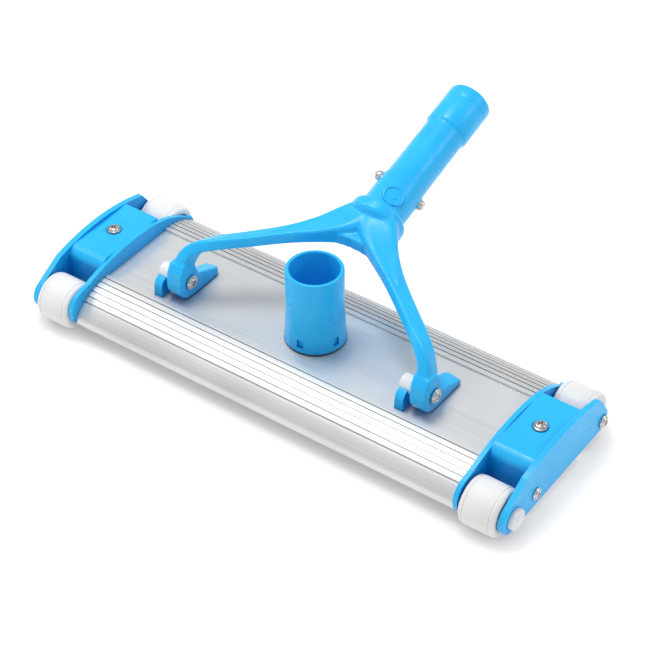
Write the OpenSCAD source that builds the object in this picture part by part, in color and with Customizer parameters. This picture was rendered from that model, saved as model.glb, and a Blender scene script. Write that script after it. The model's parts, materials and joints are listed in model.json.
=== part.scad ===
// Manual pool vacuum head: a ribbed aluminium plate on four wheels, a hose port
// in the middle and a forked handle that pivots on two lugs.
// X runs along the plate, +Y is the side the handle leans to, +Z is up.
// The origin is on the floor, midway along the plate and between its rails.

/* [Plate] */
// Length of the plate between the end caps
plate_len = 300; // [240:1:420]
// Half of the flat web between the two rails
web_half = 30; // [28:0.5:32]
// Height of the web's top face above the floor
web_z = 29.8; // [29:0.1:31]
// Thickness of the web and of the rail skins
skin = 2.6; // [2.2:0.1:3]
// Number of grooves in each rail
groove_count = 6; // [0:1:6]
// Width of a groove
groove_w = 0.9; // [0.5:0.1:1.2]
// Depth of a groove
groove_d = 0.6; // [0.3:0.1:0.9]

/* [Wheels] */
// Radius of a wheel
wheel_r = 16.3; // [15:0.1:16.5]
// Width of a wheel
wheel_w = 26; // [20:0.5:26.5]
// Radius of the axles
axle_r = 2.5; // [2:0.1:3]
// Distance of the front axles in front of the middle
front_axle_y = 54; // [52:0.5:55]
// Distance of the rear axles behind the middle
rear_axle_y = 50; // [47:0.5:52]

/* [End caps] */
// Thickness of the inner wall of a cap
inner_wall = 3.2; // [2.5:0.1:3.5]
// Thickness of the outer wall of a cap
outer_wall = 4; // [3:0.1:5]
// Gap between the two walls, where the wheels run
wheel_bay = 28.1; // [27.5:0.1:30]
// Height of the flat top of the block between the wheels
block_z = 41; // [39:0.5:42]

/* [Hose port] */
// Outer radius of the port where the hose cuff slides on
port_r = 19; // [18.5:0.1:19.5]
// Radius of the port's passage
port_bore_r = 16.4; // [15:0.1:16.6]
// Outer radius of the port's foot
port_foot_r = 20.4; // [20.2:0.1:21]
// Height of the port's rim above the floor
port_top_z = 86; // [70:0.5:90]

/* [Yoke] */
// Distance of the pivot axis in front of the middle
pivot_y = 15.5; // [14:0.5:16]
// Height of the pivot axis above the floor
pivot_z = 42.8; // [42.6:0.1:44]
// Distance of each foot's middle from the middle of the head
foot_x = 96; // [90:0.5:100]
// Width of a foot along the pivot axis
foot_w = 12; // [11:0.5:12.5]
// Slope of the handle stub above the horizontal, in degrees
stub_rise = 16.2; // [10:0.1:20]
// Radius of the band at the stub's tip, which fits the pole
band_r = 15.6; // [15:0.1:16]
// Length of the stub from its collar to its tip
stub_len = 110; // [90:1:120]

/* [Snap buttons] */
// Radius of a snap button
button_r = 3.8; // [3.2:0.1:4.2]
// How far a button stands out of the sleeve
button_out = 4.4; // [3:0.1:5]
// Distance of the buttons from the collar
button_at = 22.5; // [21:0.5:24]
// How far the line through both buttons is turned about the stub, in degrees
button_turn = 26; // [0:1:40]

/* [Brushes] */
// Distance of each brush strip from the middle
brush_y = 46; // [42:0.5:48]
// Length of the bristle rows
brush_len = 270; // [200:1:280]

/* [Hidden] */

$fn = 64;
eps = 0.01;
fit = 0.08;
side = [-1, 1];

plate_half = plate_len / 2;
bay_x = plate_half + inner_wall;
outer_x = bay_x + wheel_bay;
cap_x = outer_x + outer_wall;
wheel_x = bay_x + wheel_bay / 2;
top_screw_x = wheel_x + 1.8;
side_screw_y = -29.5;
side_screw_z = 17.2;
tongue_h = 5.6;
tongue_z = web_z - skin - tongue_h;
axle_z = wheel_r;

// The rail's cross-section: a long arc over the ribs, then a tight nose.
rail_step = 1.4;
rail_r = 44;
rail_y = web_half + 1;
rail_cz = web_z + rail_step - rail_r;
nose_r = 8;
nose_turn = 45;
nose_y = rail_y + (rail_r - nose_r) * sin(nose_turn);
nose_z = rail_cz + (rail_r - nose_r) * cos(nose_turn);
plate_bottom = 11;
port_hole_r = 18.5;

port_foot_z = web_z + 1;
sleeve_r = 17.9;
port_slots = [-84 : 72 : 204];

stub_root = [0, 73.5, 82.5];
sleeve_stub_r = 15.7;
stub_bore_r = 11.4;
band_len = 31;

white = [0.95, 0.95, 0.94];
blue = [0.2, 0.68, 1];
steel = [0.75, 0.75, 0.76];
silver = [0.85, 0.86, 0.87];
charcoal = [0.15, 0.15, 0.16];

// Points of an arc around [cx, cy] from angle a0 to angle a1 in n steps.
function arc(cx, cy, r, a0, a1, n) =
    [for (i = [0 : n]) let (a = a0 + (a1 - a0) * i / n) [cx + r * cos(a), cy + r * sin(a)]];

// Draws a profile given in Y and Z, and runs it along +X from x0 over a length.
module along_x(x0, length) {
    translate([x0, 0, 0])
        rotate([90, 0, 90])
            linear_extrude(length)
                children();
}

// A cylinder along +X that starts at [x, y, z].
module rod_x(x, y, z, length, r) {
    translate([x, y, z])
        rotate([0, 90, 0])
            cylinder(r = r, h = length);
}

// Puts its children at the stub's root, with +Z along the stub's axis.
module on_stub(along = 0, turn = 0) {
    translate(stub_root)
        rotate([stub_rise - 90, 0, 0])
            translate([0, 0, along])
                rotate([0, 0, turn])
                    children();
}

// A screw along +X: shank first, then a domed head with a cross recess.
module pan_screw(shank_r, shank_len, head_r, head_h) {
    rotate([0, 90, 0]) {
        cylinder(r = shank_r, h = shank_len + eps);
        translate([0, 0, shank_len])
            difference() {
                intersection() {
                    cylinder(r = head_r, h = head_h);
                    translate([0, 0, head_h - 2.2 * head_r])
                        sphere(r = 2.2 * head_r);
                }
                for (turn = [0, 90])
                    rotate([0, 0, turn])
                        translate([-0.55 * head_r, -0.12 * head_r, head_h - 1.2])
                            cube([1.1 * head_r, 0.24 * head_r, 2]);
            }
    }
}

// The rail's outline on the +Y side, from the web to the bottom edge.
function rail_top(inset) = concat(
    arc(rail_y, rail_cz, rail_r - inset, 91, 90 - nose_turn, 14),
    arc(nose_y, nose_z, nose_r - inset, 90 - nose_turn, -8, 8));

module half_section() {
    difference() {
        polygon(concat([[-1, web_z - skin], [-1, web_z], [web_half, web_z]], rail_top(0),
            [[nose_y + nose_r - 1, plate_bottom], [nose_y + nose_r - 4.5, plate_bottom]],
            [for (i = [23 : -1 : 0]) rail_top(skin)[i]], [[web_half - 3, web_z - skin]]));
        for (i = [0 : 1 : groove_count - 1])
            groove(86 - i * 5.8);
    }
}

module groove(turn) {
    translate([rail_y, rail_cz])
        rotate(turn)
            translate([rail_r - groove_d, -groove_w / 2])
                square([2, groove_w]);
}

// A pair of lipped legs under the rear rail that hold the back of a brush strip.
module brush_channel() {
    foot_z = 15;
    for (s = side)
        translate([-plate_half, brush_y + s * 6.4 - 0.7, foot_z]) {
            cube([plate_len, 1.4, s > 0 ? 9 : 14]);
            translate([0, s > 0 ? -1.6 : 1.2, 0])
                cube([plate_len, 1.8, 1.2]);
        }
}

// A round boss with a rib to the web, which takes the caps' side screws.
module screw_port() {
    rod_x(-plate_half, side_screw_y, side_screw_z, plate_len, 3.6);
    translate([-plate_half, side_screw_y - 1, side_screw_z])
        cube([plate_len, 2, web_z - skin + 1 - side_screw_z]);
}

module body_plate() {
    color(silver)
    difference() {
        union() {
            for (s = [0, 1])
                mirror([0, s, 0]) {
                    along_x(-plate_half, plate_len)
                        half_section();
                    brush_channel();
                }
            screw_port();
        }
        rod_x(-plate_half - 1, side_screw_y, side_screw_z, plate_len + 2, 1.9);
        translate([0, 0, web_z - skin - 1])
            cylinder(r = port_hole_r, h = skin + 3);
        for (s = side)
            for (y = [-23, -9])
                translate([s * foot_x - foot_w / 2 - 7, y, web_z - skin - 1])
                    cylinder(r = 1.7, h = skin + 3, $fn = 24);
    }
}

// Side view of a cap's inner wall: full height over the front wheel, sloping down at the rear.
module inner_profile() {
    crown_r = 160;
    crown_z = 42;
    polygon(concat(arc(50.5, 17, 11, -60, 50, 10), arc(8.9, -33.5, 75, 51, 83, 12),
        arc(0, crown_z - crown_r, crown_r, 84, 108, 12), arc(-54.5, 20, 13, 112, 230, 10)));
}

// Side view of a cap's outer wall: round at the front axle, blunt at the rear.
module outer_profile() {
    crown_r = 160;
    crown_z = 43.5;
    polygon(concat(arc(-front_axle_y - 1.5, axle_z + 1.2, 11, 272, 118, 12),
        arc(0, crown_z - crown_r, crown_r, 105, 73.7, 16),
        arc(rear_axle_y - 2, axle_z + 1.8, 8.3, 28, -88, 8)));
}

// Side view of the block between the wheels, rounded at its front top edge.
module block_profile(inset) {
    front = -33 + inset;
    back = 27 - inset;
    top = block_z - inset;
    bend = 8 - inset;
    polygon(concat([[back, 10], [back, top]], arc(front + bend, top - bend, bend, 90, 180, 8),
        [[front, 10]]));
}

// An end cap on the +X side: two walls, the block and its screw boss.
module end_cap() {
    color(blue)
    difference() {
        union() {
            along_x(plate_half, inner_wall)
                inner_profile();
            along_x(outer_x, outer_wall)
                outer_profile();
            difference() {
                along_x(bay_x - eps, wheel_bay + 2 * eps)
                    block_profile(0);
                along_x(bay_x, wheel_bay)
                    translate([0, -3])
                        block_profile(2.6);
            }
            along_x(bay_x - eps, wheel_bay + 2 * eps)
                translate([side_screw_y, side_screw_z])
                    circle(r = 3.5);
            translate([top_screw_x, 0, tongue_z + tongue_h])
                cylinder(r = 5, h = block_z - 0.7 - tongue_z - tongue_h);
        }
        translate([top_screw_x, 0, 15])
            cylinder(r = 2.6, h = 40);
        translate([top_screw_x, 0, block_z - 0.6])
            cylinder(r = 5.6, h = 10);
        rod_x(plate_half - 1, side_screw_y, side_screw_z, 60, 2.2);
        rod_x(plate_half - 1, -front_axle_y, axle_z, 60, axle_r);
        rod_x(plate_half - 1, rear_axle_y, axle_z, 60, axle_r);
        along_x(plate_half - 1, inner_wall + 2)
            translate([-18, tongue_z - 0.2])
                square([36, tongue_h + 0.4]);
    }
}

module end_cap_left() {
    mirror([1, 0, 0])
        end_cap();
}

module end_cap_right() {
    end_cap();
}

// A flat tongue inside the cap that reaches under the web, held by the top screw.
module cap_insert() {
    color(steel)
    difference() {
        translate([plate_half - 32, -17.8, tongue_z])
            cube([32 + inner_wall + 23, 35.6, tongue_h]);
        translate([top_screw_x, 0, 10])
            cylinder(r = 2.1, h = 20);
    }
}

module cap_insert_left() {
    mirror([1, 0, 0])
        cap_insert();
}

module cap_insert_right() {
    cap_insert();
}

module cap_top_screws() {
    shank = block_z - 0.6 - tongue_z + 3;
    color(steel)
    for (s = side)
        translate([s * top_screw_x, 0, tongue_z - 3])
            rotate([0, -90, 0])
                pan_screw(2.1, shank, 4.8, 3);
}

module cap_side_screws() {
    color(steel)
    for (s = [0, 1])
        mirror([s, 0, 0])
            translate([plate_half - 12, side_screw_y, side_screw_z])
                pan_screw(1.9, cap_x - plate_half + 12, 4.2, 2.4);
}

// One half of a wheel's profile, from the bore round to the middle of the tread.
function wheel_half(half, round_r) = concat([[axle_r + fit, half], [5.4, half]],
    [[6, half - 3.4], [10.4, half - 3.4], [11, half - 0.4], [wheel_r - round_r, half]],
    arc(wheel_r - round_r, half - round_r, round_r, 80, 0, 8));

// A wheel: rounded tread, a dished face on both sides and a hub bored for the axle.
module wheel(s, y) {
    near = wheel_half(wheel_w / 2, 2.6);
    last = len(near) - 1;
    color(white)
    translate([s * wheel_x, y, axle_z])
        rotate([0, 90, 0])
            rotate_extrude($fn = 96)
                polygon(concat(near, [for (i = [last : -1 : 0]) [near[i][0], -near[i][1]]]));
}

module wheel_front_left() {
    wheel(-1, -front_axle_y);
}

module wheel_front_right() {
    wheel(1, -front_axle_y);
}

module wheel_rear_left() {
    wheel(-1, rear_axle_y);
}

module wheel_rear_right() {
    wheel(1, rear_axle_y);
}

module front_axles() {
    color(steel)
    for (s = [0, 1])
        mirror([s, 0, 0])
            rod_x(plate_half + 0.4, -front_axle_y, axle_z, cap_x - plate_half + 1.6, axle_r);
}

// White push-on caps over the outer ends of the front axles.
module axle_caps() {
    cap_r = 7.2;
    color(white)
    for (s = [0, 1])
        mirror([s, 0, 0])
            translate([cap_x, -front_axle_y, axle_z])
                rotate([0, 90, 0])
                    rotate_extrude()
                        polygon(concat([[0, 2], [axle_r, 2], [axle_r, 0], [cap_r, 0]],
                            arc(cap_r - 1.8, 2.4, 1.8, 0, 90, 5), [[0, 4.6]]));
}

module rear_axle_bolts() {
    color(steel)
    for (s = [0, 1])
        mirror([s, 0, 0])
            translate([plate_half + 0.4, rear_axle_y, axle_z])
                pan_screw(axle_r, cap_x - plate_half - 0.4, 4.6, 2.8);
}

// The hose port: a slightly flared tube with five slots in its foot.
module port_tube() {
    color(blue)
    difference() {
        translate([0, 0, port_foot_z])
            rotate_extrude($fn = 96)
                polygon(concat([[sleeve_r + fit, 0], [port_foot_r, 0], [port_foot_r - 0.3, 4]],
                    [[port_r, 24], [port_r, port_top_z - port_foot_z - 0.8]],
                    arc(port_r - 0.8, port_top_z - port_foot_z - 0.8, 0.8, 0, 90, 3),
                    [[port_bore_r + 0.5, port_top_z - port_foot_z]],
                    [[port_bore_r, port_top_z - port_foot_z - 0.5], [port_bore_r, 13]],
                    [[sleeve_r + fit, 13]]));
        for (turn = port_slots)
            rotate([0, 0, turn])
                translate([sleeve_r - 1, -2.3, port_foot_z + 3.6])
                    cube([5, 4.6, 6.2]);
    }
}

// Flanged sleeve from below, whose five tabs snap into the port's slots.
module port_retainer() {
    flange_z = web_z - skin - 3;
    color(blue) {
        translate([0, 0, flange_z])
            rotate_extrude($fn = 96)
                polygon([[port_bore_r, 0], [22, 0], [22, 2.6], [sleeve_r, 2.6],
                    [sleeve_r, port_foot_z + 12.6 - flange_z],
                    [port_bore_r, port_foot_z + 12.6 - flange_z]]);
        for (turn = port_slots)
            rotate([0, 0, turn])
                translate([sleeve_r - 0.6, -2.1, port_foot_z + 3.9])
                    cube([1.2, 4.2, 5.6]);
    }
}

// Flat seal between the port's foot and the web.
module port_washer() {
    color(charcoal)
    translate([0, 0, web_z])
        difference() {
            cylinder(r = port_foot_r - 0.6, h = port_foot_z - web_z - 0.3);
            translate([0, 0, -1])
                cylinder(r = sleeve_r + 0.5, h = 4);
        }
}

// Side view of a yoke foot: a round pivot eye with a heel that points back.
module foot_profile() {
    eye_r = 12.4;
    heel_z = web_z + 0.3;
    polygon(concat(arc(-pivot_y, pivot_z, eye_r, 150, 275, 18),
        [[-12, heel_z], [14.5, heel_z], [16, heel_z + 1.6], [15.4, heel_z + 5]],
        [[4, 42.6], [-2.5, 47.5], [-5.5, 54], [-8, 61], [-19.5, 61], [-24, 55]]));
}

// A cross-section of an arm: two balls side by side, hulled to the next one.
module arm_station(x, y, z, spread, turn, r) {
    translate([x, y, z])
        rotate([0, 0, turn])
            for (s = side)
                translate([0, s * spread, 0])
                    sphere(r = r, $fn = 24);
}

// One arm on the +X side, from the foot up and back to the crotch.
module arm() {
    x = foot_x - 1.2;
    hull() {
        arm_station(x, -14.6, 56, 4, 0, 4.6);
        arm_station(x - 6.6, -9.6, 65.5, 3, -25, 4.4);
    }
    hull() {
        arm_station(x - 6.6, -9.6, 65.5, 3, -25, 4.4);
        arm_station(x - 33, 12, 73, 3, -38, 4.3);
    }
    hull() {
        arm_station(x - 33, 12, 73, 3, -38, 4.3);
        arm_station(24, 39, 79, 3, -36, 4.6);
    }
}

module yoke() {
    color(blue)
    difference() {
        union() {
            for (s = [0, 1])
                mirror([s, 0, 0]) {
                    along_x(foot_x - foot_w / 2, foot_w)
                        foot_profile();
                    arm();
                }
            hull() {
                for (s = side)
                    arm_station(s * 24, 39, 79, 3, s * -36, 4.6);
                on_stub(-6)
                    cylinder(r = 17, h = 2, $fn = 32);
            }
            on_stub()
                rotate_extrude($fn = 96)
                    polygon([[0, -11], [19, -11], [19.8, -9], [19.8, -2.5], [18.6, -0.6],
                        [sleeve_stub_r + 1, 0], [sleeve_stub_r, 1], [sleeve_stub_r, 26],
                        [14.8, 27], [14.2, stub_len - band_len - 3], [band_r, stub_len - band_len],
                        [band_r, stub_len - 2], [band_r - 1.6, stub_len], [0, stub_len]]);
        }
        on_stub(6)
            cylinder(r = stub_bore_r, h = stub_len, $fn = 96);
        on_stub(button_at, button_turn)
            translate([-30, 0, 0])
                rotate([0, 90, 0])
                    cylinder(r = button_r + fit, h = 60);
        rod_x(-foot_x - foot_w, -pivot_y, pivot_z, 2 * (foot_x + foot_w), 2.5 + fit);
    }
}

module pivot_screws() {
    shank = foot_w + 9.4;
    color(steel)
    for (s = side)
        translate([s * foot_x + foot_w / 2 + 0.3 - shank, -pivot_y, pivot_z])
            pan_screw(2.5, shank, 5, 3);
}

// White bushes in the lugs that the pivot screws tighten into.
module pivot_bushes() {
    color(white)
    for (s = side)
        difference() {
            rod_x(s * foot_x - foot_w / 2 - 10.8, -pivot_y, pivot_z, 10.5, 5.8);
            rod_x(s * foot_x - foot_w / 2 - 9.3, -pivot_y, pivot_z, 12, 2.5);
        }
}

// A low lug on the web that holds one bush, on the -X side of its foot.
module yoke_lug(s) {
    left = s * foot_x - foot_w / 2 - 9.9;
    color(blue)
    difference() {
        along_x(left, 6.2)
            polygon(concat([[-27.5, web_z], [-4, web_z]], arc(-11.5, 36.5, 7, 0, 90, 8),
                arc(-20, 36.5, 7, 90, 180, 8)));
        rod_x(left - 1, -pivot_y, pivot_z, 9, 5.8);
        for (y = [-23, -9])
            translate([left + 2.9, y, web_z - 1])
                cylinder(r = 1.5, h = 5, $fn = 24);
    }
}

module yoke_lug_left() {
    yoke_lug(-1);
}

module yoke_lug_right() {
    yoke_lug(1);
}

// Four small screws from below the web into the two lugs.
module lug_screws() {
    color(steel)
    for (s = side)
        for (y = [-23, -9])
            translate([s * foot_x - foot_w / 2 - 7, y, web_z + 3.8])
                rotate([0, 90, 0])
                    pan_screw(1.5, 3.8 + skin, 2.6, 1.6);
}

// A round-ended button that slides through the stub's wall.
module snap_button(s) {
    reach = sleeve_stub_r + button_out;
    color(silver)
    on_stub(button_at, button_turn)
        rotate([0, s * 90, 0])
            rotate_extrude()
                polygon(concat([[0, 8.5], [4.6, 8.5], [4.6, 10], [button_r, 10]],
                    arc(0, reach - button_r, button_r, 0, 90, 10)));
}

module snap_button_left() {
    snap_button(-1);
}

module snap_button_right() {
    snap_button(1);
}

// The bent strip spring behind the two buttons.
module snap_spring() {
    leg = [[8.4, 0], [8.4, 10], [2, 36]];
    color(steel)
    on_stub(button_at - 5, button_turn)
        translate([0, 4, 0])
            rotate([90, 0, 0])
                linear_extrude(8)
                    difference() {
                        polygon([for (s = [1, -1]) for (p = s > 0 ? leg : [leg[2], leg[1], leg[0]])
                            [s * p[0], p[1]]]);
                        polygon([for (s = [1, -1]) for (p = s > 0 ? leg : [leg[2], leg[1], leg[0]])
                            [s * (p[0] - 0.8), p[1] - (p[1] > 30 ? 1 : 0) - (p[1] < 1 ? 1 : 0)]]);
                    }
}

module brush_holder(s) {
    color(charcoal)
    along_x(-brush_len / 2, brush_len)
        translate([s * brush_y, 0])
            polygon([[-3.9, 14.6], [3.9, 14.6], [3.9, 16.4], [5.4, 16.4], [5.4, 20.5],
                [-5.4, 20.5], [-5.4, 16.4], [-3.9, 16.4]]);
}

module brush_holder_front() {
    brush_holder(-1);
}

module brush_holder_rear() {
    brush_holder(1);
}

// Rows of bristle tufts under one holder, clear of the floor.
module bristles(s) {
    tuft_pitch = 9;
    tufts = floor((brush_len - 8) / tuft_pitch);
    color(white)
    for (i = [0 : tufts - 1])
        translate([(i - (tufts - 1) / 2) * tuft_pitch - 3.8, s * brush_y - 2.6, 1])
            cube([7.6, 5.2, 13.6]);
}

module bristles_front() {
    bristles(-1);
}

module bristles_rear() {
    bristles(1);
}

body_plate();
end_cap_left();
end_cap_right();
cap_insert_left();
cap_insert_right();
cap_top_screws();
cap_side_screws();
wheel_front_left();
wheel_front_right();
wheel_rear_left();
wheel_rear_right();
front_axles();
axle_caps();
rear_axle_bolts();
port_tube();
port_retainer();
port_washer();
yoke();
pivot_screws();
pivot_bushes();
yoke_lug_left();
yoke_lug_right();
lug_screws();
snap_button_left();
snap_button_right();
snap_spring();
brush_holder_front();
brush_holder_rear();
bristles_front();
bristles_rear();
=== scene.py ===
"""A manual pool vacuum head, in metres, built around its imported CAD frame."""
import json
import math
import random

import bmesh
import bpy
from mathutils import Matrix, Vector


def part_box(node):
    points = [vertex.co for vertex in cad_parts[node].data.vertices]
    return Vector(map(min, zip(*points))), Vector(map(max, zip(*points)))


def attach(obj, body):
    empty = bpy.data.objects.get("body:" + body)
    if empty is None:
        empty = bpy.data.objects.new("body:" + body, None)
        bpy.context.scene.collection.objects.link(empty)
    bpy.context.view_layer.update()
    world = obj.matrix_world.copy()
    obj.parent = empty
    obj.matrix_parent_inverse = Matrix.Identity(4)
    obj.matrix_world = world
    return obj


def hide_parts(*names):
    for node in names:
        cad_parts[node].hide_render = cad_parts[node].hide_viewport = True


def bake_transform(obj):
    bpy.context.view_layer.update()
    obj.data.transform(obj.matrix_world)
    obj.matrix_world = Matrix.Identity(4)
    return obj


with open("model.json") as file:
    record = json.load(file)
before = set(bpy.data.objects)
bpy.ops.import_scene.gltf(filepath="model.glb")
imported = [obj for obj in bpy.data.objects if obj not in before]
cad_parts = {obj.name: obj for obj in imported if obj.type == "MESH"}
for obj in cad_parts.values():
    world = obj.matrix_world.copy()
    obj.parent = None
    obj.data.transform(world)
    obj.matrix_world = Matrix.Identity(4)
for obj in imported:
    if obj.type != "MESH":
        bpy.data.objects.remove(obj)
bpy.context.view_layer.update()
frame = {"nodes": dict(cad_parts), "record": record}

NODES = frame["nodes"]
JOINTS = {j["name"]: j for j in frame["record"]["behaviour"]["joints"]}
MM = 0.001
random.seed(7)

scene = bpy.context.scene
scene.view_settings.view_transform = "Standard"


# ---------------------------------------------------------------- camera
def place_camera(target, azimuth, elevation, distance, roll, lens):
    """A camera that looks at the target from an azimuth round the head and an elevation above it."""
    az, el = math.radians(azimuth), math.radians(elevation)
    forward = Vector((-math.sin(az) * math.cos(el), math.cos(az) * math.cos(el), -math.sin(el)))
    data = bpy.data.cameras.new("camera")
    data.lens, data.sensor_width = lens, 36
    cam = bpy.data.objects.new("camera", data)
    turn = forward.to_track_quat("-Z", "Y").to_matrix() @ Matrix.Rotation(math.radians(roll), 3, "Z")
    cam.matrix_world = Matrix.Translation(target - forward * distance) @ turn.to_4x4()
    scene.collection.objects.link(cam)
    scene.camera = cam


place_camera(target=Vector((0.0060, 0.0022, 0.0404)), azimuth=36.21, elevation=40.32, distance=1.369,
             roll=-0.6, lens=118.0)


# ---------------------------------------------------------------- lights and floor
def area_light(name, place, target, size, power):
    """A round white lamp that faces its target."""
    data = bpy.data.lights.new(name, "AREA")
    data.shape, data.size, data.energy = "DISK", size, power
    lamp = bpy.data.objects.new(name, data)
    lamp.location = place
    lamp.rotation_euler = (Vector(target) - Vector(place)).to_track_quat("-Z", "Y").to_euler()
    scene.collection.objects.link(lamp)


area_light("overhead", (-0.35, 0.05, 1.6), (0, 0, 0.03), 0.7, 13)
area_light("left_key", (-1.2, -0.15, 1.3), (0, 0.05, 0.08), 0.45, 5)
area_light("right_rim", (1.2, 0.9, 1.0), (0.05, 0.05, 0.06), 0.5, 3)


def studio_world():
    """A white studio that is a little brighter at the back, which is what the flat web mirrors."""
    world = bpy.data.worlds.new("studio")
    scene.world = world
    world.use_nodes = True
    tree = world.node_tree
    coords = tree.nodes.new("ShaderNodeTexCoord")
    lean = tree.nodes.new("ShaderNodeVectorMath")
    lean.operation = "DOT_PRODUCT"
    lean.inputs[1].default_value = (0.25, -0.75, 0.35)
    spread = tree.nodes.new("ShaderNodeMapRange")
    spread.inputs["From Min"].default_value, spread.inputs["From Max"].default_value = -0.75, 0.75
    spread.inputs["To Min"].default_value, spread.inputs["To Max"].default_value = 0.59, 0.54
    tree.links.new(coords.outputs["Generated"], lean.inputs[0])
    tree.links.new(lean.outputs["Value"], spread.inputs["Value"])
    tree.nodes["Background"].inputs["Color"].default_value = (1, 1, 1, 1)
    tree.links.new(spread.outputs["Result"], tree.nodes["Background"].inputs["Strength"])


studio_world()


# ---------------------------------------------------------------- materials
class Shader:
    """A Principled material with short calls for the noise, ramps and bumps that go into it."""

    def __init__(self, name, **values):
        self.material = bpy.data.materials.new(name)
        self.material.use_nodes = True
        self.tree = self.material.node_tree
        self.bsdf = self.tree.nodes["Principled BSDF"]
        self.coords = self.tree.nodes.new("ShaderNodeTexCoord")
        for socket, value in values.items():
            self.bsdf.inputs[socket.replace("_", " ")].default_value = value

    def node(self, kind, **inputs):
        made = self.tree.nodes.new(kind)
        for socket, value in inputs.items():
            made.inputs[socket.replace("_", " ")].default_value = value
        return made

    def link(self, a, b):
        self.tree.links.new(a, b)

    def stretched(self, scale):
        """Object coordinates scaled unevenly, so that a noise runs into streaks."""
        mapping = self.tree.nodes.new("ShaderNodeMapping")
        mapping.inputs["Scale"].default_value = scale
        self.link(self.coords.outputs["Object"], mapping.inputs["Vector"])
        return mapping.outputs["Vector"]

    def noise(self, scale, detail=3.0, rough=0.55, vector=None):
        made = self.node("ShaderNodeTexNoise", Scale=scale, Detail=detail, Roughness=rough)
        self.link(vector or self.coords.outputs["Object"], made.inputs["Vector"])
        return made.outputs["Fac"]

    def ramp(self, fac, low, high, start=0.35, end=0.65):
        """Maps fac from start..end to low..high, as colours or as numbers."""
        if isinstance(low, (int, float)):
            made = self.node("ShaderNodeMapRange", From_Min=start, From_Max=end, To_Min=low, To_Max=high)
            self.link(fac, made.inputs["Value"])
            return made.outputs["Result"]
        made = self.tree.nodes.new("ShaderNodeValToRGB")
        made.color_ramp.elements[0].position, made.color_ramp.elements[0].color = start, (*low, 1)
        made.color_ramp.elements[1].position, made.color_ramp.elements[1].color = end, (*high, 1)
        self.link(fac, made.inputs["Fac"])
        return made.outputs["Color"]

    def painted_crevice_shade(self, shade, floor):
        """Painted shade: an occlusion node's colour, darkened down to the floor value inside narrow grooves.
        """
        painted_shade = self.node("ShaderNodeMapRange", From_Min=0.35, From_Max=0.8, To_Min=floor, To_Max=1.0)
        mix = self.tree.nodes.new("ShaderNodeMixRGB")
        mix.blend_type = "MULTIPLY"
        mix.inputs["Fac"].default_value = 1.0
        self.link(shade.outputs["AO"], painted_shade.inputs["Value"])
        self.link(shade.inputs["Color"].links[0].from_socket, mix.inputs["Color1"])
        self.link(painted_shade.outputs["Result"], mix.inputs["Color2"])
        return mix.outputs["Color"]

    def bump(self, height, strength, distance, before=None):
        made = self.node("ShaderNodeBump", Strength=strength, Distance=distance)
        self.link(height, made.inputs["Height"])
        if before:
            self.link(before, made.inputs["Normal"])
        return made.outputs["Normal"]

    def feed(self, **sources):
        for socket, source in sources.items():
            self.link(source, self.bsdf.inputs[socket.replace("_", " ")])
        return self.material


def moulded_plastic(name, low, high, rough, texture=0.03, painted_shade=None):
    """Glossy or satin moulded plastic: faint colour flow, uneven gloss and a fine mould texture.
    With a painted shade colour, corners that little light reaches are painted darker, towards that colour."""
    s = Shader(name, IOR=1.43, Specular_IOR_Level=0.38)
    flow = s.noise(28, 4)
    fine = s.noise(1500, 2)
    waves = s.noise(60, 1)
    skin = s.bump(fine, texture, 0.0001, s.bump(waves, 0.02, 0.0005))
    colour = s.ramp(flow, low, high)
    if painted_shade:
        # Painted shade: an occlusion node mixes the colour towards the dark shade colour in corners and
        # recesses.
        shade = s.node("ShaderNodeAmbientOcclusion", Distance=0.022)
        painted_shade_mix = s.tree.nodes.new("ShaderNodeMixRGB")
        painted_shade_mix.inputs["Color1"].default_value = (*painted_shade, 1)
        s.link(s.ramp(shade.outputs["AO"], 0.0, 1.0, 0.3, 0.85), painted_shade_mix.inputs["Fac"])
        s.link(colour, painted_shade_mix.inputs["Color2"])
        colour = painted_shade_mix.outputs["Color"]
    return s.feed(Base_Color=colour, Normal=skin,
                  Roughness=s.ramp(s.noise(160, 4), rough * 0.85, rough * 1.25))


def extruded_aluminium(name, low, high, rough, streaks=0.06):
    """Anodised extrusion: fine draw lines along X, a soft cloudy sheen, and painted shade in its grooves."""
    s = Shader(name, Metallic=0.7)
    lines = s.noise(1.0, 3, vector=s.stretched((6, 2600, 2600)))
    cloud = s.noise(14, 3)
    # Painted shade: this occlusion node darkens the colour inside grooves and seams.
    shade = s.node("ShaderNodeAmbientOcclusion", Distance=0.0016)
    shade.samples = 8
    s.link(s.ramp(cloud, low, high), shade.inputs["Color"])
    grain = s.noise(2600, 2)
    skin = s.bump(lines, streaks, 0.0002, s.bump(grain, 0.04, 0.0001))
    return s.feed(Base_Color=s.painted_crevice_shade(shade, 0.35), Normal=skin,
                  Roughness=s.ramp(lines, rough * 0.85, rough * 1.2))


def turned_steel(name, low, high, rough):
    """Machined steel: faint rings of tool marks and a few darker specks."""
    s = Shader(name, Metallic=1.0)
    marks = s.noise(900, 4)
    return s.feed(Base_Color=s.ramp(s.noise(400, 4), low, high), Normal=s.bump(marks, 0.08, 0.0002),
                  Roughness=s.ramp(marks, rough * 0.8, rough * 1.3))


def fine_rubber(name, low, high):
    """Matte rubber with fine pores."""
    s = Shader(name, IOR=1.45)
    pores = s.noise(1200, 4)
    return s.feed(Base_Color=s.ramp(pores, low, high), Normal=s.bump(pores, 0.25, 0.0003),
                  Roughness=s.ramp(pores, 0.65, 0.85))


# The blue's dark colour is painted shade, laid into corners and recesses by an occlusion node.
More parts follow.
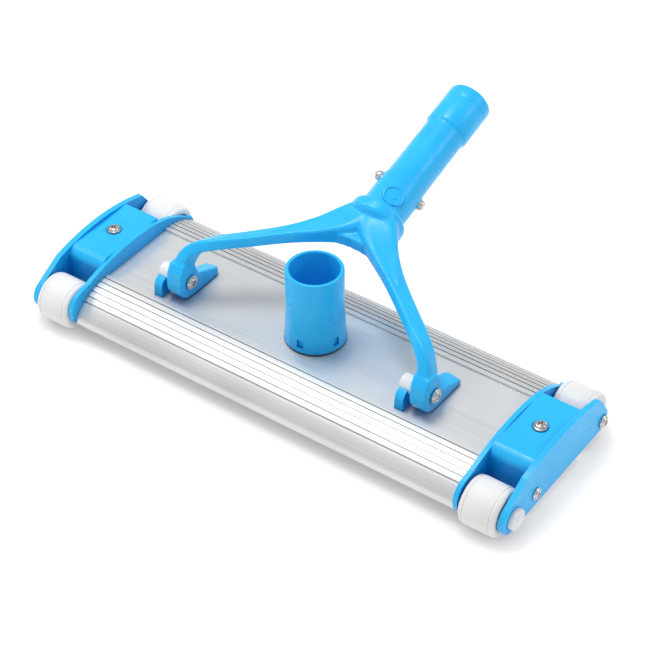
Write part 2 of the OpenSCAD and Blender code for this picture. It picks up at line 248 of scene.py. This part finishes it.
BLUE = moulded_plastic("blue_plastic", (0.016, 0.465, 0.92), (0.022, 0.50, 0.96), 0.3, texture=0.015,
                       painted_shade=(0.001, 0.27, 0.72))
WHITE = moulded_plastic("white_plastic", (0.78, 0.785, 0.79), (0.83, 0.83, 0.83), 0.42, texture=0.06)
BRUSH_BACK = moulded_plastic("brush_back", (0.7, 0.71, 0.72), (0.78, 0.78, 0.79), 0.5, texture=0.08)
BRISTLE = moulded_plastic("bristle", (0.78, 0.8, 0.82), (0.86, 0.87, 0.88), 0.45, texture=0.02)
ALUMINIUM = extruded_aluminium("aluminium", (0.67, 0.675, 0.675), (0.745, 0.75, 0.75), 0.42)
STAINLESS = turned_steel("stainless", (0.52, 0.50, 0.49), (0.70, 0.68, 0.66), 0.24)
ZINC = turned_steel("zinc_steel", (0.42, 0.43, 0.44), (0.55, 0.56, 0.56), 0.45)
BUTTON = turned_steel("button_steel", (0.66, 0.66, 0.67), (0.78, 0.78, 0.78), 0.2)
RUBBER = fine_rubber("seal_rubber", (0.012, 0.012, 0.014), (0.03, 0.03, 0.032))

FINISH = {"blue_plastic": BLUE, "white_plastic": WHITE, "aluminium": ALUMINIUM, "stainless": STAINLESS,
          "zinc_steel": ZINC, "button_steel": BUTTON, "seal_rubber": RUBBER, "brush_back": BRUSH_BACK,
          "bristle": BRISTLE}
SLOT_OF = {part["node"]: part["material_slot"] for part in frame["record"]["subparts"]}
for name, node in NODES.items():
    node.data.materials.clear()
    node.data.materials.append(FINISH[SLOT_OF[name]])


def smooth_group():
    """A node group that shades a mesh smooth except over edges sharper than 36 degrees."""
    group = bpy.data.node_groups.new("smooth_by_angle", "GeometryNodeTree")
    group.interface.new_socket("Geometry", in_out="INPUT", socket_type="NodeSocketGeometry")
    group.interface.new_socket("Geometry", in_out="OUTPUT", socket_type="NodeSocketGeometry")
    start, end = group.nodes.new("NodeGroupInput"), group.nodes.new("NodeGroupOutput")
    faces, edges = (group.nodes.new("GeometryNodeSetShadeSmooth") for _ in range(2))
    edges.domain = "EDGE"
    edges.inputs["Shade Smooth"].default_value = False
    angle = group.nodes.new("GeometryNodeInputMeshEdgeAngle")
    sharp = group.nodes.new("FunctionNodeCompare")
    sharp.data_type, sharp.operation = "FLOAT", "GREATER_THAN"
    sharp.inputs[1].default_value = math.radians(36)
    group.links.new(start.outputs[0], faces.inputs["Geometry"])
    group.links.new(faces.outputs[0], edges.inputs["Geometry"])
    group.links.new(angle.outputs[0], sharp.inputs[0])
    group.links.new(sharp.outputs[0], edges.inputs["Selection"])
    group.links.new(edges.outputs[0], end.inputs[0])
    return group


SMOOTH = smooth_group()


def ease_edges(width, *names):
    """Rounds the hard edges of CAD nodes with modifiers."""
    for name in names:
        mod = NODES[name].modifiers.new("edge", "BEVEL")
        mod.width, mod.segments, mod.limit_method = width * MM, 3, "ANGLE"
        mod.angle_limit = math.radians(40)
        NODES[name].modifiers.new("smooth", "NODES").node_group = SMOOTH


ease_edges(0.8, "end_cap_left", "end_cap_right")
ease_edges(0.5, "yoke_lug_left", "yoke_lug_right")


# ---------------------------------------------------------------- mesh helpers
def new_object(name, bm, smooth_angle=35.0):
    """A linked object from a bmesh, smooth except over edges sharper than the angle."""
    bmesh.ops.remove_doubles(bm, verts=bm.verts, dist=1e-6)
    bmesh.ops.recalc_face_normals(bm, faces=bm.faces)
    for f in bm.faces:
        f.smooth = True
    for e in bm.edges:
        sharp = len(e.link_faces) == 2 and e.calc_face_angle(0) > math.radians(smooth_angle)
        e.smooth = not sharp
    mesh = bpy.data.meshes.new(name)
    bm.to_mesh(mesh)
    bm.free()
    made = bpy.data.objects.new(name, mesh)
    scene.collection.objects.link(made)
    return made


def apply_modifiers(obj):
    """Bakes an object's modifiers into its own mesh."""
    bpy.context.view_layer.update()
    baked = bpy.data.meshes.new_from_object(obj.evaluated_get(bpy.context.evaluated_depsgraph_get()))
    old = obj.data
    obj.modifiers.clear()
    obj.data = baked
    bpy.data.meshes.remove(old)
    return obj


def finish_piece(obj, body, *nodes):
    """Gives a piece its material and slot, lets it stand for CAD nodes and ride on their body."""
    slot = SLOT_OF[nodes[0]]
    obj.data.materials.clear()
    obj.data.materials.append(FINISH[slot])
    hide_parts(*nodes)
    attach(obj, body)
    return obj


def rounded_ring(centre, across, up, width, height, radius, per_corner=5):
    """Points of a rounded rectangle round a centre, in the plane of two unit vectors."""
    radius = min(radius, width / 2, height / 2)
    points = []
    for quarter in range(4):
        sx = 1 if quarter in (0, 3) else -1
        sy = 1 if quarter in (0, 1) else -1
        for i in range(per_corner + 1):
            a = math.pi / 2 * (quarter + i / per_corner)
            u = sx * (width / 2 - radius) + radius * math.cos(a)
            v = sy * (height / 2 - radius) + radius * math.sin(a)
            points.append(centre + across * u + up * v)
    return points


def loft(bm, rings):
    """Skins a row of rings that have the same number of points, and closes both ends."""
    made = [[bm.verts.new(p) for p in ring] for ring in rings]
    count = len(made[0])
    for a, b in zip(made, made[1:]):
        for i in range(count):
            j = (i + 1) % count
            bm.faces.new((a[i], a[j], b[j], b[i]))
    bm.faces.new(made[0][::-1])
    bm.faces.new(made[-1])


def lathe(bm, profile, matrix, steps=96):
    """Turns (radius, height) points round the matrix's Z axis; the first and last may be on the axis.
    A point with a third value is drawn in to a four-armed cross by that share."""
    rings = []
    for r, h, *cross in profile:
        if r < 1e-7:
            rings.append([bm.verts.new(matrix @ Vector((0, 0, h)))])
            continue
        share = cross[0] if cross else 0
        ring = []
        for t in (2 * math.pi * i / steps for i in range(steps)):
            reach = r * (1 - share * (1 - abs(math.cos(2 * t)) ** 6))
            ring.append(bm.verts.new(matrix @ Vector((reach * math.cos(t), reach * math.sin(t), h))))
        rings.append(ring)
    for a, b in zip(rings, rings[1:]):
        for i in range(steps):
            j = (i + 1) % steps
            if len(a) == 1 and len(b) == 1:
                continue
            if len(a) == 1:
                bm.faces.new((a[0], b[j], b[i]))
            elif len(b) == 1:
                bm.faces.new((a[i], a[j], b[0]))
            else:
                bm.faces.new((a[i], a[j], b[j], b[i]))


def closed_lathe(bm, profile, matrix, steps=96):
    """A lathe whose profile is a closed loop away from the axis, such as a tube's wall."""
    lathe(bm, profile + [profile[0]], matrix, steps)
    bmesh.ops.remove_doubles(bm, verts=bm.verts, dist=1e-7)


def hull_of(bm, points):
    """The convex hull of some points as its own closed shell."""
    verts = [bm.verts.new(p) for p in points]
    out = bmesh.ops.convex_hull(bm, input=verts)
    inside = [v for v in out["geom_interior"] if isinstance(v, bmesh.types.BMVert)]
    bmesh.ops.delete(bm, geom=inside, context="VERTS")


def smooth_path(stations, per_span=8):
    """Values between stations on a Catmull-Rom curve; a station is a tuple of numbers and vectors."""
    ends = [stations[0]] + list(stations) + [stations[-1]]
    row = []
    for k in range(len(stations) - 1):
        a, b, c, d = ends[k:k + 4]
        for i in range(per_span):
            t = i / per_span
            row.append(tuple(
                0.5 * ((2 * q) + (r - p) * t + (2 * p - 5 * q + 4 * r - s) * t * t
                       + (3 * q - p - 3 * r + s) * t ** 3)
                for p, q, r, s in zip(a, b, c, d)))
    return row + [stations[-1]]


def axis_matrix(origin, direction):
    """A frame at origin whose Z runs along the direction and whose X stays level."""
    z = Vector(direction).normalized()
    x = Vector((1, 0, 0)) if abs(z.x) < 0.9 else Vector((0, 1, 0))
    y = z.cross(x).normalized()
    x = y.cross(z)
    return Matrix.Translation(origin) @ Matrix((x, y, z)).transposed().to_4x4()


def cut(obj, *cutters):
    """Subtracts closed objects from obj and removes them."""
    for c in cutters:
        mod = obj.modifiers.new("cut", "BOOLEAN")
        mod.object, mod.operation, mod.solver = c, "DIFFERENCE", "EXACT"
    apply_modifiers(obj)
    for c in cutters:
        bpy.data.objects.remove(c)
    return obj


def rod_object(start, end, radius, steps=48):
    """A plain round cutter between two points."""
    bm = bmesh.new()
    length = (Vector(end) - Vector(start)).length
    lathe(bm, [(0, 0), (radius, 0), (radius, length), (0, length)],
          axis_matrix(Vector(start), Vector(end) - Vector(start)), steps)
    return new_object("cutter", bm)


def v(x, y, z):
    """A point given in millimetres."""
    return Vector((x, y, z)) * MM


# ---------------------------------------------------------------- yoke
MOUNTS = {m["name"]: m for m in frame["record"]["mounts"]}
PIVOT = Vector(JOINTS["yoke_pivot"]["pos_m"])
STUB_AXIS = Vector(MOUNTS["pole_stub"]["axis"])
STUB_ROOT = Vector(MOUNTS["pole_stub"]["pos_m"]) - STUB_AXIS * 0.107
STUB = axis_matrix(STUB_ROOT, STUB_AXIS)
BUTTON_AT = 0.0225
PRESS = Vector(JOINTS["button_left_press"]["axis"]).normalized()
FOOT_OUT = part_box("yoke")[1][0]
FOOT_IN = FOOT_OUT - 0.012


def arm(bm, side):
    """One arm of the fork: a rounded bar that leans outwards and swells into the hub."""
    rows = smooth_path([
        # centre, normal of the broad face, width, thickness, corner radius
        (v(96.3, -17.0, 36.0), v(1, 0, 0), 15.0, 10.5, 3.0),
        (v(96.3, -16.0, 48.0), v(1, 0, 0), 14.0, 10.5, 3.0),
        (v(94.6, -13.2, 58.5), v(0.93, 0.2, 0.3), 13.0, 9.4, 2.4),
        (v(89.6, -8.6, 66.6), v(0.62, 0.32, 0.72), 12.2, 8.4, 2.0),
        (v(79.5, -1.0, 70.6), v(0.26, 0.28, 0.92), 11.8, 7.9, 1.8),
        (v(62.0, 12.5, 73.2), v(0.15, 0.21, 0.97), 11.6, 7.9, 1.8),
        (v(43.0, 26.8, 76.6), v(0.14, 0.14, 0.98), 12.8, 8.4, 1.8),
        (v(27.0, 39.5, 79.4), v(0.1, 0.0, 1), 17.5, 10.4, 2.4),
        (v(14.5, 51.0, 81.6), v(0.05, -0.1, 1), 24.0, 16.0, 4.5),
        (v(6.0, 61.0, 82.4), v(0, -0.22, 1), 29.0, 24.0, 10.5),
        (v(0.5, 70.0, 82.3), v(0, -0.28, 0.96), 31.0, 31.0, 15.0),
    ])
    flip = Matrix.Diagonal((side, 1, 1))
    rings = []
    for k, (centre, normal, width, height, radius) in enumerate(rows):
        ahead, back = rows[min(k + 1, len(rows) - 1)][0], rows[max(k - 1, 0)][0]
        along = (ahead - back).normalized()
        across = along.cross(normal).normalized()
        up = across.cross(along)
        ring = rounded_ring(centre, across, up, width * MM, height * MM, radius * MM)
        rings.append([flip @ p for p in ring])
    loft(bm, rings)


def foot(bm, side):
    """A foot: the block round the pivot and the wedge behind it, with a flat underside above the web."""
    x0, x1 = side * FOOT_IN, side * FOOT_OUT
    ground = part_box("yoke")[0][2]
    block = [(-26.2, 44), (-25.6, 38.2), (-23.0, 33.4), (-19.0, 30.9), (-14.0, None), (-5, None),
             (-5.2, 40), (-7.0, 46), (-9.8, 53), (-12.5, 58), (-21.5, 58), (-25, 52)]
    hull_of(bm, [Vector((x, y * MM, ground if z is None else z * MM)) for x in (x0, x1)
                 for y, z in block])
    inner = [(-12, 45.5), (-3, 43), (12.5, 36.5)]
    outer = [(-10, 42), (4, 37.5), (14.5, 33.6), (16, 32.6), (16, 31.4), (14.5, None), (-13, None)]
    points = [Vector((x0 + side * 0.0008, y * MM, z * MM)) for y, z in inner]
    points += [Vector((x1, y * MM, ground if z is None else z * MM)) for y, z in outer]
    points += [Vector((x0, y * MM, ground)) for y in (-13, 13.5)]
    points += [Vector((x0 + side * 0.002, 0.0155, 0.035))]
    hull_of(bm, points)


def saddle(bm):
    """The plate that fills the crotch between the two arms, thick enough to melt into both."""
    half = [(0, 40), (12, 38.8), (25, 35.5), (38, 29), (50, 21.5), (34, 42), (22, 54), (17, 66)]
    outline = half + [(-x, y) for x, y in half[:0:-1]]
    level = [(x, y, 77.6 + (y - 27) * 0.16) for x, y in outline]
    loft(bm, [[v(x, y, z - 3.8) for x, y, z in level], [v(x, y, z + 4.2) for x, y, z in level]])


def fork():
    """Arms, hub, collar and feet melted into one moulding, with its pivot bores cut."""
    bm = bmesh.new()
    for side in (-1, 1):
        arm(bm, side)
        foot(bm, side)
    saddle(bm)
    lathe(bm, [(0, -0.0125), (0.0165, -0.0125), (0.0188, -0.011), (0.0198, -0.009), (0.0198, -0.0026),
               (0.0186, -0.0008), (0.0172, 0.0), (0, 0.0)], STUB)
    made = new_object("yoke_fork", bm)
    mod = made.modifiers.new("melt", "REMESH")
    mod.mode, mod.voxel_size, mod.adaptivity = "VOXEL", 0.0008, 0.0
    mod = made.modifiers.new("ease", "SMOOTH")
    mod.factor, mod.iterations = 0.5, 6
    mod = made.modifiers.new("thin", "DECIMATE")
    mod.ratio = 0.5
    apply_modifiers(made)
    bores = [rod_object((s * FOOT_OUT * 1.05, PIVOT.y, PIVOT.z), (s * FOOT_IN * 0.92, PIVOT.y, PIVOT.z),
                        0.00258) for s in (-1, 1)]
    return cut(made, *bores)


def stub():
    """The handle stub: sleeve, tapered barrel and the raised band at its tip, hollow to near its root."""
    bm = bmesh.new()
    outside = [(0.0150, -0.004), (0.0166, -0.0005), (0.0159, 0.0008), (0.0157, 0.002), (0.0157, 0.0252),
               (0.0155, 0.0258), (0.0148, 0.0262), (0.0146, 0.0268), (0.0142, 0.0755), (0.0142, 0.0764),
               (0.0145, 0.0774), (0.0153, 0.0786), (0.01555, 0.0796), (0.01555, 0.0994), (0.0154, 0.1000),
               (0.01555, 0.1006), (0.01555, 0.108), (0.0150, 0.1092), (0.0139, 0.10995)]
    inside = [(0.0119, 0.10995), (0.0114, 0.1093), (0.0114, 0.006), (0.0, 0.006)]
    lathe(bm, [(0, -0.004)] + outside + inside, STUB, 128)
    made = new_object("yoke_stub", bm)
    middle = STUB @ Vector((0, 0, BUTTON_AT))
    return cut(made, rod_object(middle - PRESS * 0.03, middle + PRESS * 0.03, 0.00388, 64))


def boss():
    """A plain round boss with a raised rim on the sleeve, square to the buttons' line."""
    bm = bmesh.new()
    place = axis_matrix(STUB @ Vector((0, 0, 0.0082)), PRESS.cross(STUB_AXIS))
    lathe(bm, [(0, 0.0125), (0.0072, 0.0125), (0.0074, 0.0152), (0.0071, 0.0160), (0.0064, 0.0162),
               (0.0059, 0.0159), (0.0055, 0.01545), (0.0030, 0.0155), (0.0026, 0.01585), (0.0, 0.0159)],
          place, 64)
    return new_object("yoke_boss", bm)


def join(first, *others):
    """One object from several, in the first one's name."""
    with bpy.context.temp_override(active_object=first, selected_editable_objects=[first, *others]):
        bpy.ops.object.join()
    return first


def smooth_by_angle(obj, angle=40):
    """Shades an object smooth except over edges sharper than the angle."""
    bm = bmesh.new()
    bm.from_mesh(obj.data)
    for f in bm.faces:
        f.smooth = True
    for e in bm.edges:
        e.smooth = not (len(e.link_faces) == 2 and e.calc_face_angle(0) > math.radians(angle))
    bm.to_mesh(obj.data)
    bm.free()
    return obj


finish_piece(join(smooth_by_angle(fork()), smooth_by_angle(stub()), boss()), "yoke", "yoke")


# ---------------------------------------------------------------- snap spring
def spring_leg(side):
    """One leg of the bent strip, from its foot by the button up to its fold."""
    across = STUB_AXIS.cross(PRESS)
    turned = Matrix((PRESS, across, STUB_AXIS)).transposed().to_4x4()
    turned = Matrix.Translation(STUB @ Vector((0, 0, BUTTON_AT - 0.005))) @ turned
    path = [(8.0, 0.05), (8.0, 5), (8.0, 10)]
    path += [(8.0 - 6.3 * k / 10, 10 + 25 * k / 10) for k in range(1, 11)] + [(0.9, 35.5), (0.0, 35.55)]
    points = [Vector((side * x * MM, 0, z * MM)) for x, z in path]
    level = Vector((0, 1, 0))
    rings = []
    for k, point in enumerate(points):
        along = (points[min(k + 1, len(points) - 1)] - points[max(k - 1, 0)]).normalized()
        up = along.cross(level).normalized()
        ring = rounded_ring(point, level, up, 0.008, 0.0008, 0.0003, per_corner=2)
        rings.append([turned @ p for p in ring])
    bm = bmesh.new()
    loft(bm, rings)
    name = "left" if side < 0 else "right"
    leg = new_object("snap_spring_" + name, bm)
    leg.data.materials.append(FINISH["stainless"])
    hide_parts("snap_spring")
    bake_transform(leg)


for leg_side in (-1, 1):
    spring_leg(leg_side)


# ---------------------------------------------------------------- wheels and axle caps
def wheel(name):
    """A wheel with a fine groove near each face, soft shoulders, a dished face and a hub."""
    bm = bmesh.new()
    place = axis_matrix(Vector(JOINTS[name + "_spin"]["pos_m"]), (1, 0, 0))
    near = [(2.58, 12.95), (5.1, 12.95), (5.45, 12.6), (5.8, 9.8), (6.3, 9.4), (9.9, 9.4), (10.4, 9.8),
            (10.8, 12.2), (11.3, 12.7), (13.2, 12.95), (14.3, 12.75), (15.2, 12.15), (15.85, 11.1),
            (16.1, 10.2), (16.1, 9.7), (15.72, 9.5), (15.72, 9.2), (16.15, 9.0), (16.3, 8.7)]
    loop = near + [(r, -h) for r, h in near[::-1]]
    closed_lathe(bm, [(r * MM, h * MM) for r, h in loop], place, 96)
    finish_piece(new_object(name + "_moulding", bm), name, name)


for wheel_name in ("wheel_front_left", "wheel_front_right", "wheel_rear_left", "wheel_rear_right"):
    wheel(wheel_name)


def axle_caps():
    """White domed push-on caps with a rim, on the outer ends of the front axles."""
    bm = bmesh.new()
    face_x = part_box("axle_caps")[1][0] - 0.0046
    place = JOINTS["wheel_front_right_spin"]["pos_m"]
    profile = [(0, 2.0), (2.5, 2.0), (2.5, 0), (7.0, 0), (7.2, 0.25), (7.2, 2.6), (6.9, 3.2), (6.2, 3.6),
               (5.6, 3.65), (5.35, 3.45), (5.1, 3.7), (4.2, 4.25), (2.6, 4.52), (0, 4.58)]
    for side in (-1, 1):
        outer = Vector((side * face_x, place[1], place[2]))
        lathe(bm, [(r * MM, h * MM) for r, h in profile], axis_matrix(outer, (side, 0, 0)), 64)
    finish_piece(new_object("axle_cap_pair", bm), "head", "axle_caps")


axle_caps()


# ---------------------------------------------------------------- screws
def pan_screw(bm, seat, direction, head_r, head_h, shank_r, shank_len):
    """A pan-head screw: shank below the seat, and a head with a rim, a stepped crown and a cross recess."""
    profile = [(0, -shank_len), (shank_r, -shank_len), (shank_r, 0), (head_r * 0.96, 0), (head_r, 0.25),
               (head_r, head_h * 0.4), (head_r * 0.93, head_h * 0.56), (head_r * 0.84, head_h * 0.6),
               (head_r * 0.8, head_h * 0.56), (head_r * 0.76, head_h * 0.72), (head_r * 0.66, head_h * 0.92),
               (head_r * 0.56, head_h), (head_r * 0.54, head_h, 0.5), (head_r * 0.4, head_h * 0.45, 0.62),
               (0, head_h * 0.36)]
    lathe(bm, [(r * MM, h * MM, *c) for r, h, *c in profile], axis_matrix(seat, direction), 64)


def screw_set(name, node, heads, size):
    """All the screws of one CAD node; heads are pairs of a seat and a direction."""
    bm = bmesh.new()
    for seat, direction in heads:
        pan_screw(bm, seat, direction, *size)
    finish_piece(new_object(name, bm, 30), "head", node)


def cap_seats(node, head_h):
    """The two seats of a mirrored pair of screws whose heads stand on the caps' outer walls."""
    low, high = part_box(node)
    middle = [(a + b) / 2 for a, b in zip(low, high)]
    return [(Vector((s * (high[0] - head_h * MM), middle[1], middle[2])), (s, 0, 0)) for s in (-1, 1)]


TOP_HEAD, TOP_HEIGHT = 4.8, 3.0
SIDE_HEIGHT = 2.4
BOLT_HEIGHT = 2.8
PIVOT_HEIGHT, PIVOT_LEN = 3.0, 21.4
SIDE_TIP = 138.0
BOLT_TIP = 150.4

top_low, top_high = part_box("cap_top_screws")
top_x = top_high[0] - TOP_HEAD * MM
top_seats = [(Vector((s * top_x, 0, top_high[2] - TOP_HEIGHT * MM)), (0, 0, 1)) for s in (-1, 1)]
screw_set("top_screws", "cap_top_screws", top_seats,
          (TOP_HEAD, TOP_HEIGHT, 2.1, (top_high[2] - top_low[2]) / MM - TOP_HEIGHT))
screw_set("side_screws", "cap_side_screws", cap_seats("cap_side_screws", SIDE_HEIGHT),
          (4.2, SIDE_HEIGHT, 1.9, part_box("cap_side_screws")[1][0] / MM - SIDE_HEIGHT - SIDE_TIP))
screw_set("rear_bolts", "rear_axle_bolts", cap_seats("rear_axle_bolts", BOLT_HEIGHT),
          (4.6, BOLT_HEIGHT, 2.5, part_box("rear_axle_bolts")[1][0] / MM - BOLT_HEIGHT - BOLT_TIP))
pivot_low, pivot_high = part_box("pivot_screws")
pivot_seats = [(Vector((x, PIVOT.y, PIVOT.z)), (1, 0, 0))
               for x in (pivot_high[0] - PIVOT_HEIGHT * MM, pivot_low[0] + PIVOT_LEN * MM)]
screw_set("pivot_pins", "pivot_screws", pivot_seats, (5.0, PIVOT_HEIGHT, 2.5, PIVOT_LEN))


# ---------------------------------------------------------------- hose port
SLOTS = 5
FIRST_SLOT = -84


def port():
    """The port tube: flared foot, rounded rim and five slots for the retainer's tabs."""
    low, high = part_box("port_tube")
    base, top = low[2], (high[2] - low[2]) / MM
    profile = [(17.98, 0), (20.1, 0), (20.4, 0.3), (20.1, 4), (19.0, 24), (19.0, top - 1.1),
               (18.75, top - 0.45), (18.2, top - 0.04), (17.6, top), (16.95, top - 0.06),
               (16.5, top - 0.5), (16.4, top - 1.2), (16.4, 13), (17.98, 13)]
    bm = bmesh.new()
    closed_lathe(bm, [(r * MM, h * MM) for r, h in profile], Matrix.Translation((0, 0, base)), 128)
    made = new_object("port_moulding", bm)
    for k in range(SLOTS):
        turn = Matrix.Rotation(math.radians(FIRST_SLOT + 360 / SLOTS * k), 4, "Z")
        box = bmesh.new()
        loft(box, [[turn @ Vector((x * MM, y * MM, base + z * MM))
                    for y, z in ((-2.3, 3.6), (2.3, 3.6), (2.3, 9.8), (-2.3, 9.8))] for x in (16.9, 22.5)])
        cut(made, new_object("cutter", box))
    finish_piece(smooth_by_angle(made, 35), "port", "port_tube")


port()


# ---------------------------------------------------------------- bristles
TUFT_PITCH, TUFT_LENGTH, TUFT_WIDTH = 0.009, 0.0072, 0.0048
CORNERS = ((-1, -1), (1, -1), (1, 1), (-1, 1))


def square(centre, half):
    """Four corners of a level square round a point."""
    return [centre + Vector((a * half, b * half, 0)) for a, b in CORNERS]


def bristles(node):
    """Fine tapered filaments in rows of tufts, inside the CAD node's box."""
    low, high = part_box(node)
    bm = bmesh.new()
    tufts = round((high[0] - low[0] + 0.0014) / TUFT_PITCH)
    for t in range(tufts):
        x0 = low[0] + t * TUFT_PITCH
        for i in range(6):
            for j in range(4):
                x = x0 + 0.0006 + 0.0064 * (i + random.random() * 0.8) / 5.8
                y = low[1] + 0.0005 + 0.0042 * (j + random.random() * 0.8) / 3.8
                tip = low[2] + random.random() * 0.0005
                dx, dy = (random.random() - 0.5) * 0.0006, (random.random() - 0.5) * 0.0006
                loft(bm, [square(Vector((x, y, high[2])), 0.00034),
                          square(Vector((x + dx, y + dy, tip)), 0.0002)])
        corner = Vector((x0 + 0.0002, low[1] + 0.0002, 0))
        loft(bm, [[corner + Vector((a, b, z)) for a, b in
                   ((0, 0), (TUFT_LENGTH, 0), (TUFT_LENGTH, TUFT_WIDTH), (0, TUFT_WIDTH))]
                  for z in (high[2] - 0.0012, high[2])])
    finish_piece(new_object(node + "_tufts", bm, 60), "head", node)


for strip in ("bristles_front", "bristles_rear"):
    bristles(strip)



def stage_floor():
    """A white floor that glows a little, with a painted contact shadow where its glow dims close to the
    object.
    """
    bm = bmesh.new()
    bmesh.ops.create_grid(bm, x_segments=1, y_segments=1, size=6)
    floor = new_object("floor", bm)
    s = Shader("floor", Roughness=0.9, Base_Color=(0.34, 0.34, 0.34, 1), Specular_IOR_Level=0.1,
               Emission_Color=(1, 1, 1, 1))
    # Painted shadow: an occlusion node dims the floor's glow near the object.
    shade = s.node("ShaderNodeAmbientOcclusion", Distance=0.035)
    s.feed(Emission_Strength=s.ramp(shade.outputs["AO"], 0.22, 0.84, 0.1, 0.95))
    floor.data.materials.append(s.material)
    floor.location.z = -0.0002


stage_floor()
